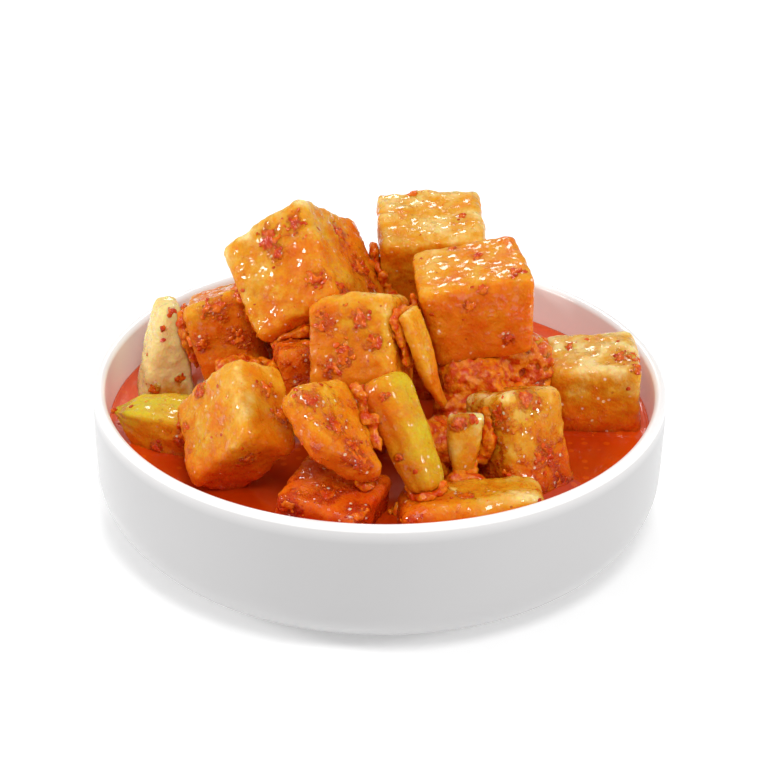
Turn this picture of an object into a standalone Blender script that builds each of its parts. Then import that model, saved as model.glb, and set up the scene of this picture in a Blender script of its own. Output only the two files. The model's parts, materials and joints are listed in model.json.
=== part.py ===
"""A white low dish of cubed radish kimchi: the dish, its red brine, and every cut piece as a solid.

Metres, +Z up. The origin is the middle of the dish's flat base, on the table. The heap's shown side faces -Y.
"""

import math
import random
from dataclasses import dataclass

import bmesh
import bpy
from mathutils import Euler, Matrix, Vector

MM = 0.001

# The dish: a flat base, a rounded foot, and a wall that stands nearly straight.
DISH_RADIUS = 58.0 * MM
DISH_HEIGHT = 31.5 * MM
FLOOR = 4.0 * MM
WALL = 2.4 * MM
WALL_GAIN = 0.8 * MM  # how much thicker the wall is at its foot than at its rim
FLARE = 1.3 * MM  # how far the wall leans out from foot to rim
FOOT_ARC = (17.0 * MM, 14.0 * MM)  # the outer corner's half-axes, across and up
BOWL_ARC = (15.0 * MM, 12.0 * MM)  # the inner corner's
RIM_ROUND = 1.1 * MM
RIM_STEPS = 6
OUTER_STEPS = 10
INNER_STEPS = 8
CROWD = 2.0  # how closely the profile's points gather at the foot, where it turns most
TURN_STEPS = 64

# The brine lies in the dish up to its level, and keeps a hair's gap to all that it touches.
BRINE_LEVEL = 22.0 * MM
BRINE_STEPS = 6
GAP = 0.3 * MM

# How a knife leaves a piece: slightly rounded edges, and corners not quite square.
EDGE_ROUND = 1.5 * MM
EDGE_SEGMENTS = 2
EDGE_PROFILE = 0.55
UNEVEN = 0.03  # of a side, how far each corner may wander
SHARP = math.radians(25)
BOW_CUTS = 5
MERGE = 0.00001


@dataclass(frozen=True)
class Piece:
    """One cut piece: size across, deep and high, and centre, in mm, and its turn in degrees.

    Each trim is (direction, kept): a flat cut square to that direction, which keeps this share of the
    half-size there. bow bends a long piece sideways by that many mm. taper is how much narrower the
    lower end is, and how much wider the upper, as a share of the width.
    """

    name: str
    size: tuple
    centre: tuple
    turn: tuple = (0, 0, 0)
    look: str = "radish"
    trims: tuple = ()
    edge: float = 1.0
    bow: float = 0.0
    taper: float = 0.0


# The crest of the heap: three large cubes.
CREST = (
    Piece("cube_crest_left", (20.5, 22, 22), (-15.5, 11, 48.5), (-40, -36, -9)),
    Piece("cube_crest_back", (21, 21, 21), (10.3, 24.3, 47), (7, -1, 3)),
    Piece("cube_crest_right", (21, 18, 18), (18.5, -3, 51), (6, -8, 7), taper=0.06),
)

# What the crest stands on, in the middle of the heap, and what leans on it.
MIDDLE = (
    Piece(
        "cube_middle",
        (17, 13, 18),
        (-4, -13, 46.5),
        (-28, -11, -16),
        trims=(((-1, 0, 2), 0.86),),
    ),
    Piece("slice_leaning", (2.4, 8.5, 21.5), (8.3, -18.4, 45.8), (0, -20, -28), bow=0.6, edge=0.7),
    Piece("cube_middle_left", (8.5, 8.5, 12), (-16, -6.5, 36), (-10, 0, 10), look="red"),
    Piece("cube_behind_front_left", (10.5, 9, 12), (-27.5, -5, 31), (0, 10, 20), look="red"),
    Piece("cube_left_red", (13.5, 15, 17), (-31, 12.5, 35.5), (-14, -18, 3), look="red"),
    Piece("wedge_left_pale", (8.5, 9, 21), (-44, 12.5, 31), (-5, 4, 15), taper=-0.35),
)

# The front of the heap, from left to right, partly in the brine.
FRONT = (
    Piece(
        "stalk_left",
        (19, 11, 12),
        (-45, -8.5, 25.5),
        (0, 8, -17),
        look="green",
        trims=(((-1, 0, 0.7), 0.66), ((-1, 0, -0.9), 0.6), ((-1, -1, 0), 0.7), ((-1, 1, 0), 0.7)),
    ),
    Piece("cube_front_left", (20, 12, 19), (-28, -25, 34), (-40, -46, -29)),
    Piece(
        "wedge_front",
        (15, 6, 20),
        (-8.5, -37.5, 40),
        (-50, 14, 46),
        look="red",
        trims=(((-1, 0, -0.9), 0.6),),
    ),
    Piece("stalk_front", (9, 8.5, 24), (5.2, -33.6, 38), (-20, -35, -20), look="green", edge=1.6),
    Piece("cube_front_low", (18, 16, 17), (-9, -38, 21.5), (5, 5, -25), look="red"),
    Piece("chunk_front_right", (26, 12, 12), (18, -39.7, 22), (-10, -8, 6)),
    Piece("petal_front", (6.5, 2.6, 17), (16.3, -27.8, 29.8), (-20, 8, 12), edge=0.7, taper=0.3),
    Piece("cube_right_front", (13, 14, 21), (27.5, -20, 28), (-7, -22, -50)),
    Piece("cube_right", (18, 16.5, 20), (43.5, 4, 26.5), (2, -3, 0)),
    Piece("cube_right_red", (9.5, 10, 12), (28.2, -1.8, 35.6), (-10, 10, 10), look="red"),
    Piece("slice_right_red", (10, 8.5, 5), (18.3, -8.9, 37.3), (-10, 0, 5), look="red"),
    Piece("cube_centre_red", (6, 5.5, 12), (14.4, -14.6, 28.2), (-10, 5, 10), look="red"),
    Piece("chunk_centre_red", (7.5, 6.5, 11), (10.2, -22.8, 28.2), (-8, 5, 20), look="red"),
)

# The back of the heap and what stands under its crest.
BACK = (
    Piece("cube_back_left", (19, 17, 19), (-27, 32, 20.5), (5, -5, 30)),
    Piece("cube_back", (18, 16, 19), (-4.5, 39.5, 24), (-5, 5, -8)),
    Piece("cube_back_right", (15.5, 14.5, 16), (32, 24.2, 15.6), (0, 5, -35)),
    Piece("cube_back_middle", (17.5, 15, 19), (16, 38.5, 25), (5, 4, 15)),
    Piece("cube_under_left", (17, 17, 15), (-13, 16, 22), (0, 5, 15)),
    Piece("cube_under_back", (16, 16, 18), (8.5, 16, 26), (0, 0, -10)),
    Piece("cube_under_right", (14, 12, 17), (25, 9.2, 26), (0, 0, 10)),
    Piece("cube_under_middle", (17, 15, 15), (-5, -6, 20), (0, 5, -20)),
)

PIECES = CREST + MIDDLE + FRONT + BACK

RADISH_LOOK = ((0.86, 0.58, 0.22), 0.32)
RED_LOOK = ((0.72, 0.20, 0.04), 0.30)
GREEN_LOOK = ((0.74, 0.60, 0.10), 0.30)
DISH_LOOK = ((0.90, 0.90, 0.90), 0.25)
BRINE_LOOK = ((0.62, 0.12, 0.02), 0.10)


def clear_scene():
    """Remove what the scene holds at the start."""
    for obj in list(bpy.data.objects):
        bpy.data.objects.remove(obj, do_unlink=True)


def new_collection(name, is_helper=False):
    """Make a collection, left out of renders where it only holds cutters."""
    collection = bpy.data.collections.new(name)
    collection.hide_render = is_helper
    bpy.context.scene.collection.children.link(collection)
    return collection


def new_material(name, look):
    """Make a Principled material from a colour and a roughness."""
    colour, roughness = look
    material = bpy.data.materials.new(name)
    material.use_nodes = True
    shader = material.node_tree.nodes["Principled BSDF"]
    shader.inputs["Base Color"].default_value = (*colour, 1.0)
    shader.inputs["Roughness"].default_value = roughness
    shader.inputs["Metallic"].default_value = 0.0
    return material


def new_object(name, bm, collection, material):
    """Turn a bmesh into an object of this collection, and free the bmesh."""
    mesh = bpy.data.meshes.new(name)
    bm.to_mesh(mesh)
    bm.free()
    mesh.materials.append(material)
    obj = bpy.data.objects.new(name, mesh)
    collection.objects.link(obj)
    return obj


def add_modifier(obj, kind, **settings):
    """Add a modifier and set its values."""
    modifier = obj.modifiers.new(kind.title(), kind)
    for key, value in settings.items():
        setattr(modifier, key, value)
    return modifier


def turned(name, profile, collection, material):
    """Turn a profile of (radius, height) points, top to bottom on the outside, about the Z axis."""
    bm = bmesh.new()
    points = [bm.verts.new((radius, 0.0, height)) for radius, height in profile]
    for first, second in zip(points, points[1:]):
        bm.edges.new((first, second))
    obj = new_object(name, bm, collection, material)
    add_modifier(
        obj,
        "SCREW",
        angle=math.tau,
        steps=TURN_STEPS,
        render_steps=TURN_STEPS,
        use_merge_vertices=True,
        merge_threshold=MERGE,
        use_smooth_shade=True,
    )
    return obj


def wall_radius(height, arc, inset=0.0):
    """The wall's radius at a height above the bottom of its corner arc."""
    reach, rise = arc
    lean = FLARE * (1.0 - min(height / DISH_HEIGHT, 1.0)) ** 1.5
    below = max(1.0 - height / rise, 0.0)
    return DISH_RADIUS - inset - lean - reach * (1.0 - math.sqrt(1.0 - below**2))


def inner_radius(height):
    """The inside of the wall at a height above the table."""
    thicker = WALL_GAIN * (1.0 - height / DISH_HEIGHT)
    return wall_radius(height - FLOOR, BOWL_ARC, WALL + thicker)


def spaced(low, high, count, crowd=1.0):
    """Evenly spaced values from low to high, crowded towards low where crowd is over 1."""
    return [low + (high - low) * (step / count) ** crowd for step in range(count + 1)]


def build_dish(collection):
    """The dish: one turned profile, down its outside, across its base and up its inside."""
    outer_heights = spaced(0.0, DISH_HEIGHT - RIM_ROUND, OUTER_STEPS, CROWD)
    outside = [(wall_radius(height, FOOT_ARC), height) for height in reversed(outer_heights)]
    inner_heights = spaced(FLOOR, DISH_HEIGHT - RIM_ROUND, INNER_STEPS, CROWD)
    inside = [(inner_radius(height), height) for height in inner_heights]
    outer_edge, inner_edge = outside[0][0], inside[-1][0]
    middle, half = (outer_edge + inner_edge) / 2, (outer_edge - inner_edge) / 2
    rim = [
        (middle - half * math.cos(angle), DISH_HEIGHT - RIM_ROUND + RIM_ROUND * math.sin(angle))
        for angle in spaced(0.0, math.pi, RIM_STEPS)[1:-1]
    ]
    top = len(rim) // 2
    base = [(0.0, 0.0), (0.0, FLOOR)]
    profile = rim[top:] + outside + base + inside + rim[: top + 1]
    return turned("dish", profile, collection, new_material("glazed_dish", DISH_LOOK))


def brine_profile(level):
    """The brine's outline inside the dish, a gap clear of the floor and the wall."""
    heights = spaced(FLOOR + GAP, level, BRINE_STEPS, CROWD)
    side = [(inner_radius(height - GAP) - GAP, height) for height in heights]
    return [(0.0, level)] + side[::-1] + [(0.0, FLOOR + GAP)]


def trim(bm, half_size, direction, kept):
    """Cut the piece flat, square to a direction in its own axes."""
    normal = Vector(direction).normalized()
    reach = sum(abs(part) * half for part, half in zip(normal, half_size))
    result = bmesh.ops.bisect_plane(
        bm,
        geom=bm.verts[:] + bm.edges[:] + bm.faces[:],
        plane_co=normal * reach * kept,
        plane_no=normal,
        clear_outer=True,
    )
    edges = [part for part in result["geom_cut"] if isinstance(part, bmesh.types.BMEdge)]
    bmesh.ops.edgeloop_fill(bm, edges=edges)


def cut_shape(piece, rng, growth=0.0):
    """A piece in its own axes: an uneven box, trimmed, bowed, rounded at its edges, then grown all round."""
    half_size = [side * MM / 2 for side in piece.size]
    bm = bmesh.new()
    bmesh.ops.create_cube(bm, size=2.0, matrix=Matrix.Diagonal((*half_size, 1.0)))
    for vert in bm.verts:
        vert.co += Vector([rng.uniform(-UNEVEN, UNEVEN) * 2 * half for half in half_size])
        vert.co.x *= 1.0 + piece.taper * math.copysign(1.0, vert.co.z)
    for direction, kept in piece.trims:
        trim(bm, half_size, direction, kept)
    if piece.bow:
        bow(bm, half_size[2], piece.bow * MM)
    sharp = [edge for edge in bm.edges if edge.calc_face_angle(0.0) > SHARP]
    bmesh.ops.bevel(
        bm,
        geom=sharp,
        offset=EDGE_ROUND * piece.edge,
        segments=EDGE_SEGMENTS,
        profile=EDGE_PROFILE,
        affect="EDGES",
        clamp_overlap=True,
    )
    bmesh.ops.remove_doubles(bm, verts=bm.verts[:], dist=MERGE)
    bmesh.ops.recalc_face_normals(bm, faces=bm.faces[:])
    bmesh.ops.triangulate(bm, faces=bm.faces[:], quad_method="FIXED")
    bm.normal_update()
    for vert in bm.verts:
        vert.co += vert.normal * vert.calc_shell_factor() * growth
    return bm


def bow(bm, half_height, reach):
    """Divide a long piece along its height and bend it sideways by this much at its middle."""
    upright = []
    for edge in bm.edges:
        start, end = (vert.co.z for vert in edge.verts)
        if abs(end - start) > half_height:
            upright.append(edge)
    bmesh.ops.subdivide_edges(bm, edges=upright, cuts=BOW_CUTS, use_grid_fill=True)
    for vert in bm.verts:
        vert.co.x += reach * (1.0 - (vert.co.z / half_height) ** 2)


def place(obj, piece):
    """Turn a piece and move it to its centre."""
    obj.location = Vector(piece.centre) * MM
    obj.rotation_euler = Euler([math.radians(angle) for angle in piece.turn])


def build_pieces(collection):
    """Every cut piece of the heap, each in its own place."""
    materials = {
        "radish": new_material("radish", RADISH_LOOK),
        "red": new_material("radish_in_red_paste", RED_LOOK),
        "green": new_material("green_stalk", GREEN_LOOK),
    }
    for number, piece in enumerate(PIECES):
        shape = cut_shape(piece, random.Random(number))
        place(new_object(piece.name, shape, collection, materials[piece.look]), piece)


def build_brine(collection, cutters):
    """The brine, cut round every piece that reaches into it."""
    material = new_material("brine", BRINE_LOOK)
    brine = turned("brine", brine_profile(BRINE_LEVEL), collection, material)
    for number, piece in enumerate(PIECES):
        lowest = piece.centre[2] - math.hypot(*piece.size) / 2
        if lowest * MM > BRINE_LEVEL:
            continue
        shape = cut_shape(piece, random.Random(number), growth=GAP)
        cutter = new_object(piece.name + "_space", shape, cutters, material)
        cutter.hide_render = True
        cutter.display_type = "WIRE"
        place(cutter, piece)
        add_modifier(brine, "BOOLEAN", operation="DIFFERENCE", solver="EXACT", object=cutter)


def main():
    """Build the dish, the brine and the heap."""
    clear_scene()
    kimchi = new_collection("radish_kimchi")
    cutters = new_collection("cutters", is_helper=True)
    build_dish(kimchi)
    build_brine(kimchi, cutters)
    build_pieces(kimchi)


main()
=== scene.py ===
"""A low white dish of cubed radish kimchi: glazed dish, red brine, wet cut radish, chilli and pulp.

Metres, +Z up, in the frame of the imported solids. The heap's shown side faces -Y.
"""

from __future__ import annotations

import json
import logging
import math
import random
from collections.abc import Iterable
from dataclasses import dataclass
from enum import Enum

import bpy
import numpy as np
from mathutils import Matrix, Vector, noise
from mathutils.bvhtree import BVHTree


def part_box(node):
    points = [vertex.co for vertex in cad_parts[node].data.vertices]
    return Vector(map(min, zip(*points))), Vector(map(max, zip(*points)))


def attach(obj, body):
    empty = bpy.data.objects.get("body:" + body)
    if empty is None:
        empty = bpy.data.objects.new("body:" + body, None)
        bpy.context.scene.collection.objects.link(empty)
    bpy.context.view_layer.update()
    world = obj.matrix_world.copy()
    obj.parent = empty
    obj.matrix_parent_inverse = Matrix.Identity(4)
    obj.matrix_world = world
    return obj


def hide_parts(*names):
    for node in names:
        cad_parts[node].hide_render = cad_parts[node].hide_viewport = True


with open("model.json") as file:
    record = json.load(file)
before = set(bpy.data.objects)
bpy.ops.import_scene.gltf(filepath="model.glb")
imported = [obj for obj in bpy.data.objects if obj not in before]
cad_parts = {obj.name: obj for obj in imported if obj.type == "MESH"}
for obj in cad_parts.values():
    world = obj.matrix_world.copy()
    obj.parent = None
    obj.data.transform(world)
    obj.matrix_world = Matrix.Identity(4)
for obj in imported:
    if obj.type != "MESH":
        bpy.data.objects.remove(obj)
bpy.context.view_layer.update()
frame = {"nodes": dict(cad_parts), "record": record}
LOG = logging.getLogger("kimchi")

MM = 0.001
BODY = "root"
BRINE_LEVEL = 22.0 * MM
TILT = math.radians(28.0)  # the heap is dressed to be seen from the front and this much above
SHOWN_WAY = Vector((0.0, math.cos(TILT), -math.sin(TILT)))
SHOWN_UP = Vector((0.0, math.sin(TILT), math.cos(TILT)))
FAR = 0.3  # well outside the heap, for a look at it from the front

Colour = tuple[float, float, float]
Place = tuple[float, float, float]
Faces = list[tuple[int, ...]]
Spots = list[tuple[Vector, float]]
BLACK: Colour = (0.0, 0.0, 0.0)
WHITE: Colour = (1.0, 1.0, 1.0)


class Flesh(Enum):
    """What a piece is cut from, and so which finish it has."""

    PALE = "pale"
    GREEN = "green"


# ---------------------------------------------------------------- shader building


class Value:
    """A shader socket that can be used in plain arithmetic."""

    def __init__(self, shader: Shader, socket: bpy.types.NodeSocket) -> None:
        """Keep the socket and the material it belongs to."""
        self.shader = shader
        self.socket = socket

    def calculate(self, operation: str, *terms: Value | float) -> Value:
        """Add one Math node.

        Args:
            operation: the node's operation.
            terms: its inputs in order, as values or numbers.

        Returns:
            The node's result.
        """
        node = self.shader.node("ShaderNodeMath", {"operation": operation}, dict(enumerate(terms)))
        return Value(self.shader, node.outputs[0])

    def __add__(self, other: Value | float) -> Value:
        """Sum."""
        return self.calculate("ADD", self, other)

    __radd__ = __add__

    def __sub__(self, other: Value | float) -> Value:
        """Difference."""
        return self.calculate("SUBTRACT", self, other)

    def __rsub__(self, other: Value | float) -> Value:
        """Difference, from a number."""
        return self.calculate("SUBTRACT", other, self)

    def __mul__(self, other: Value | float) -> Value:
        """Product."""
        return self.calculate("MULTIPLY", self, other)

    __rmul__ = __mul__

    def above(self, limit: float, soft: float) -> Value:
        """Rise smoothly from 0 to 1 past a limit.

        Args:
            limit: where the rise is half done.
            soft: half the width of the rise.

        Returns:
            The risen value.
        """
        node = self.shader.node(
            "ShaderNodeMapRange",
            {"interpolation_type": "SMOOTHSTEP"},
            {"Value": self, "From Min": limit - soft, "From Max": limit + soft},
        )
        return Value(self.shader, node.outputs["Result"])

    def clamped(self) -> Value:
        """This value held between 0 and 1."""
        return self.calculate("MINIMUM", self.calculate("MAXIMUM", self, 0.0), 1.0)


class Shader:
    """One Principled material and the nodes that feed it."""

    def __init__(self, name: str) -> None:
        """Make the material.

        Args:
            name: the material's name.
        """
        self.material = bpy.data.materials.new(name)
        self.material.use_nodes = True
        self.tree = self.material.node_tree
        self.surface = self.tree.nodes["Principled BSDF"]
        self.place = self.node("ShaderNodeTexCoord", {}, {}).outputs["Object"]

    def node(self, kind: str, settings: dict, inputs: dict) -> bpy.types.Node:
        """Add a node.

        Args:
            kind: the node's type.
            settings: properties set before its inputs.
            inputs: values or links of its sockets, by name or number.

        Returns:
            The node.
        """
        node = self.tree.nodes.new(kind)
        for key, setting in settings.items():
            setattr(node, key, setting)
        for key, given in inputs.items():
            self.feed(node.inputs[key], given)
        return node

    def feed(self, slot: bpy.types.NodeSocket, given: object) -> None:
        """Link or set one input socket.

        Args:
            slot: the socket.
            given: a Value, a socket, a colour or a number.
        """
        if isinstance(given, Value):
            self.tree.links.new(given.socket, slot)
        elif isinstance(given, bpy.types.NodeSocket):
            self.tree.links.new(given, slot)
        elif isinstance(given, tuple) and slot.type == "RGBA":
            slot.default_value = (*given, 1.0)
        else:
            slot.default_value = given

    def vary(self, name: str, given: object) -> None:
        """Feed one of the surface's inputs with what changes over it.

        Args:
            name: the input's name.
            given: a Value, a socket or a colour.
        """
        self.feed(self.surface.inputs[name], given)

    def constants(self, **values: float) -> None:
        """Set plain numbers on the surface.

        Args:
            values: each number, by its input's name with spaces written as underscores.
        """
        for key, number in values.items():
            self.surface.inputs[key.replace("_", " ")].default_value = number

    def noise(self, size: float, detail: float = 3.0, rough: float = 0.55) -> Value:
        """Soft noise whose patches are about this size.

        Args:
            size: patch size in metres.
            detail: how many finer layers it has.
            rough: how strong they are.

        Returns:
            The noise, about 0.5 on average.
        """
        inputs = {"Vector": self.place, "Scale": 1.0 / size, "Detail": detail, "Roughness": rough}
        return Value(self, self.node("ShaderNodeTexNoise", {}, inputs).outputs["Fac"])

    def cells(self, size: float) -> tuple[Value, Value]:
        """Scattered cells of about this size.

        Args:
            size: cell size in metres.

        Returns:
            How near a place is to the middle of its cell, up to 1, and a random number for the cell.
        """
        inputs = {"Vector": self.place, "Scale": 1.0 / size, "Randomness": 1.0}
        node = self.node("ShaderNodeTexVoronoi", {}, inputs)
        pick = self.node("ShaderNodeSeparateColor", {}, {0: node.outputs["Color"]})
        return 1.0 - Value(self, node.outputs["Distance"]), Value(self, pick.outputs[0])

    def attribute(self, name: str) -> Value:
        """A number stored on the mesh under this name."""
        node = self.node("ShaderNodeAttribute", {"attribute_name": name}, {})
        return Value(self, node.outputs["Fac"])

    def mix(self, share: Value | float, first: object, second: object) -> bpy.types.NodeSocket:
        """Mix two colours.

        Args:
            share: how much of the second there is.
            first: the colour at 0.
            second: the colour at 1.

        Returns:
            The mixed colour.
        """
        # A Mix node's sockets 6 and 7 take its colours, and output 2 gives their mix.
        node = self.node("ShaderNodeMix", {"data_type": "RGBA"}, {0: share, 6: first, 7: second})
        return node.outputs[2]

    def ramp(self, value: Value, stops: tuple[tuple[float, Colour], ...]) -> bpy.types.NodeSocket:
        """Turn a value into a run of colours.

        Args:
            value: the value.
            stops: each colour, with the value at which it is reached.

        Returns:
            The colour.
        """
        node = self.node("ShaderNodeValToRGB", {}, {"Fac": value})
        marks = node.color_ramp.elements
        while len(marks) < len(stops):
            marks.new(0.5)
        for mark, (position, _) in zip(marks, stops):
            mark.position = position
        for mark, (_, colour) in zip(marks, stops):
            mark.color = (*colour, 1.0)
        return node.outputs["Color"]

    def bump(self, relief: Value, depth: float, strength: float = 1.0) -> None:
        """Give the surface a fine relief.

        Args:
            relief: its height, about 0 to 1.
            depth: the height of 1, in metres.
            strength: how strongly it shows.
        """
        inputs = {"Height": relief, "Distance": depth, "Strength": strength}
        self.vary("Normal", self.node("ShaderNodeBump", {}, inputs).outputs["Normal"])

    def scatter(self, weight: float, depth: float, radius: Colour) -> None:
        """Let light into the surface.

        Args:
            weight: how much of it goes in.
            depth: how deep, in metres.
            radius: how deep each colour goes, as a share of that.
        """
        self.surface.inputs["Subsurface Weight"].default_value = weight
        self.surface.inputs["Subsurface Scale"].default_value = depth
        self.surface.inputs["Subsurface Radius"].default_value = radius


@dataclass(frozen=True)
class GlazeFinish:
    """White-glazed finish with painted light: paler and faintly glowing inside the dish and on the rim top,
    darker outside. It has a thin orange smear where brine has run down the wall.
    """

    # painted light: the outside takes a darker copy of the white glaze, the inside and the rim top a paler
    # one
    shaded_glaze: Colour = (0.50, 0.50, 0.505)
    inside: Colour = (0.88, 0.865, 0.855)
    smear: Colour = (0.80, 0.26, 0.06)
    tint: Colour = (0.86, 0.66, 0.56)
    patch: float = 7.0 * MM
    ripple: float = 3.0 * MM
    relief: float = 0.02 * MM

    def make(self) -> bpy.types.Material:
        """Build the material.

        Returns:
            The material.
        """
        shader = Shader("white_glaze")
        smear, inside = shader.attribute("smear"), shader.attribute("inside")
        patches = shader.noise(self.patch, 4.0)
        streaks = (smear + (patches - 0.5) * 1.1).above(0.66, 0.2) * smear.above(0.02, 0.02)
        warm = smear.above(0.12, 0.3) * 0.15
        # painted light: paler white inside the dish and on the rim top, darker outside
        white = shader.mix(inside, self.shaded_glaze, self.inside)
        shader.vary("Base Color", shader.mix(streaks * 0.5, shader.mix(warm, white, self.tint), self.smear))
        # painted light: a faint glow inside the dish and on the rim top, which is no lamp
        shader.vary("Emission Color", shader.mix(inside, BLACK, WHITE))
        shader.constants(Roughness=0.28, Coat_Weight=0.35, Coat_Roughness=0.12, Emission_Strength=0.11)
        shader.bump(shader.noise(self.ripple, 2.0), self.relief, 0.5)
        return shader.material


@dataclass(frozen=True)
class BrineFinish:
    """Red brine, deep in the middle and more orange where it is thin, with drops of chilli oil."""

    deep: Colour = (0.46, 0.026, 0.0005)
    thin: Colour = (0.80, 0.085, 0.001)
    oil: Colour = (0.88, 0.15, 0.002)
    cloud: float = 11.0 * MM
    drop: float = 2.6 * MM
    ripple: float = 5.0 * MM
    relief: float = 0.25 * MM
    depth: float = 1.2 * MM

    def make(self) -> bpy.types.Material:
        """Build the material.

        Returns:
            The material.
        """
        shader = Shader("red_brine")
        open_water, clouds = shader.attribute("open"), shader.noise(self.cloud, 3.0)
        base = shader.mix((open_water + (clouds - 0.5) * 0.7).clamped(), self.deep, self.thin)
        middle, pick = shader.cells(self.drop)
        drops = middle.above(0.74, 0.04) * pick.above(0.62, 0.03)
        shader.vary("Base Color", shader.mix(drops * 0.35, base, self.oil))
        shader.constants(Roughness=0.3, Coat_Weight=1.0, Coat_Roughness=0.03, Specular_IOR_Level=0.1)
        shader.scatter(0.3, self.depth, (1.0, 0.35, 0.1))
        shader.bump(shader.noise(self.ripple, 2.0) + drops * 0.15, self.relief, 0.6)
        return shader.material


@dataclass(frozen=True)
class RadishFinish:
    """Wet cut radish under a see-through film of brine: the thicker the film, the redder it looks.
    Its film number also carries painted shade, and the pale specks in its wet patches are painted
    highlights that stand partly for pale pulp cells.

    stops are its colours by the film's thickness, as a share of the thickest. cloud, patch, fibre, speck,
    bead, drop and grain are the sizes of what breaks it up. relief is how high its finest bumps are, and
    depth how far light goes in, in metres.
    """

    name: str
    stops: tuple[tuple[float, Colour], ...]
    chilli: Colour = (0.40, 0.024, 0.002)
    painted_glint: Colour = (0.95, 0.74, 0.52)
    glow: float = 0.7
    thickest: float = 4.0
    cloud: float = 6.5 * MM
    patch: float = 2.6 * MM
    fibre: float = 0.9 * MM
    speck: float = 1.2 * MM
    glint_cell: float = 1.05 * MM
    drop: float = 1.3 * MM
    grain: float = 0.8 * MM
    relief: float = 1.3 * MM
    depth: float = 4.0 * MM

    def make(self) -> bpy.types.Material:
        """Build the material.

        Returns:
            The material.
        """
        shader = Shader(self.name)
        film, paste = shader.attribute("film"), shader.attribute("paste")
        broad, patchy = shader.noise(self.cloud, 3.0), shader.noise(self.patch, 3.0)
        fine = shader.noise(self.fibre, 4.0, 0.62)
        gathered = (paste + (patchy - 0.5) * 1.6).above(0.68, 0.2) * paste.above(0.02, 0.02)
        uneven = (broad - 0.5) * 2.6 + (patchy - 0.5) * 1.0 + (fine - 0.5) * 0.6
        # the film number carries painted shade on sides, undersides and between pieces, as well as the film
        thickness = film + uneven + gathered * 0.6
        coloured = shader.ramp((thickness * (1.0 / self.thickest)).clamped(), self.stops)
        speck, speck_pick = shader.cells(self.speck)
        specks = speck.above(0.78, 0.06) * (speck_pick + gathered * 0.4).above(0.97, 0.03)
        # painted highlight: pale specks in wet, paste-laden patches stand in for glints on wet grains,
        # partly for pale pulp cells
        glint_cell, glint_pick = shader.cells(self.glint_cell)
        soaked = (gathered * 0.9 + (patchy - 0.48) * 2.5).clamped()
        painted_glints = glint_cell.above(0.70, 0.1) * (glint_pick + soaked * 0.32).above(1.01, 0.04)
        spotted = shader.mix(specks * 0.7, coloured, self.chilli)
        shader.vary("Base Color", shader.mix(painted_glints * 0.85, spotted, self.painted_glint))
        drops = shader.noise(self.drop, 2.0).above(0.55, 0.05)
        shader.vary("Roughness", 0.4 - drops * 0.2)
        shader.vary("Coat Weight", (drops + gathered * 0.4).clamped())
        shader.constants(Specular_IOR_Level=0.12, Coat_Roughness=0.035)
        shader.scatter(self.glow, self.depth, (1.0, 0.36, 0.08))
        grains = shader.noise(self.grain, 2.0) * (0.10 + gathered * 0.9)
        shader.bump(fine * 0.10 + grains + patchy * 0.4, self.relief)
        return shader.material


@dataclass(frozen=True)
class WetBitFinish:
    """A small wet scrap or a soft paste, in patches of two colours."""

    name: str
    first: Colour
    second: Colour
    roughness: float = 0.22
    glow: float = 0.2
    grain: float = 0.4 * MM
    relief: float = 0.08 * MM
    patch: float = 1.6 * MM
    depth: float = 0.8 * MM

    def make(self) -> bpy.types.Material:
        """Build the material.

        Returns:
            The material.
        """
        shader = Shader(self.name)
        share = shader.noise(self.patch, 2.0).above(0.5, 0.14)
        shader.vary("Base Color", shader.mix(share, self.first, self.second))
        shader.constants(Roughness=self.roughness, Specular_IOR_Level=0.4)
        shader.scatter(self.glow, self.depth, (1.0, 0.4, 0.15))
        shader.bump(shader.noise(self.grain, 2.0), self.relief, 0.8)
        return shader.material


@dataclass(frozen=True)
class FloorFinish:
    """A plain white sweep, lifted a little by its own light."""

    white: Colour = (0.84, 0.84, 0.84)
    lift: float = 0.28

    def make(self) -> bpy.types.Material:
        """Build the material.

        Returns:
            The material.
        """
        shader = Shader("white_floor")
        shader.vary("Base Color", self.white)
        shader.vary("Emission Color", WHITE)
        shader.constants(Roughness=0.7, Emission_Strength=self.lift)
        return shader.material


# ---------------------------------------------------------------- mesh helpers


def placed(name: str, data: bpy.types.ID) -> bpy.types.Object:
    """Put a mesh, a light or a camera into the scene.

    Args:
        name: the new object's name.
        data: what it holds.

    Returns:
        The object.
    """
    obj = bpy.data.objects.new(name, data)
    bpy.context.scene.collection.objects.link(obj)
    return obj


def select_only(obj: bpy.types.Object) -> None:
    """Make one object the only selected one, and the active one.

    Args:
        obj: the object.
    """
    for other in list(bpy.context.selected_objects):
        other.select_set(False)
    obj.select_set(True)
    bpy.context.view_layer.objects.active = obj


def edit_all(obj: bpy.types.Object) -> None:
    """Go into edit mode with everything selected.

    Args:
        obj: the object.
    """
    select_only(obj)
    bpy.ops.object.mode_set(mode="EDIT")
    bpy.ops.mesh.select_all(action="SELECT")


def leave_edit() -> None:
    """Go back to object mode."""
    bpy.ops.object.mode_set(mode="OBJECT")


def apply_modifier(obj: bpy.types.Object, kind: str, **settings: object) -> None:
    """Add one modifier and apply it.

    Args:
        obj: the object, which becomes the active one.
        kind: the modifier's type.
        settings: its values.
    """
    select_only(obj)
    modifier = obj.modifiers.new(kind.title(), kind)
    for key, setting in settings.items():
        setattr(modifier, key, setting)
    bpy.ops.object.modifier_apply(modifier=modifier.name)


def displace(obj: bpy.types.Object, relief: bpy.types.Texture, height: float, middle: float = 0.5) -> None:
    """Raise and sink a surface by a soft relief.

    Args:
        obj: the object.
        relief: the relief.
        height: how far its whole range moves the surface.
        middle: the share of the range that stays where it is.
    """
    apply_modifier(obj, "DISPLACE", texture=relief, strength=height, mid_level=middle)


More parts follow.
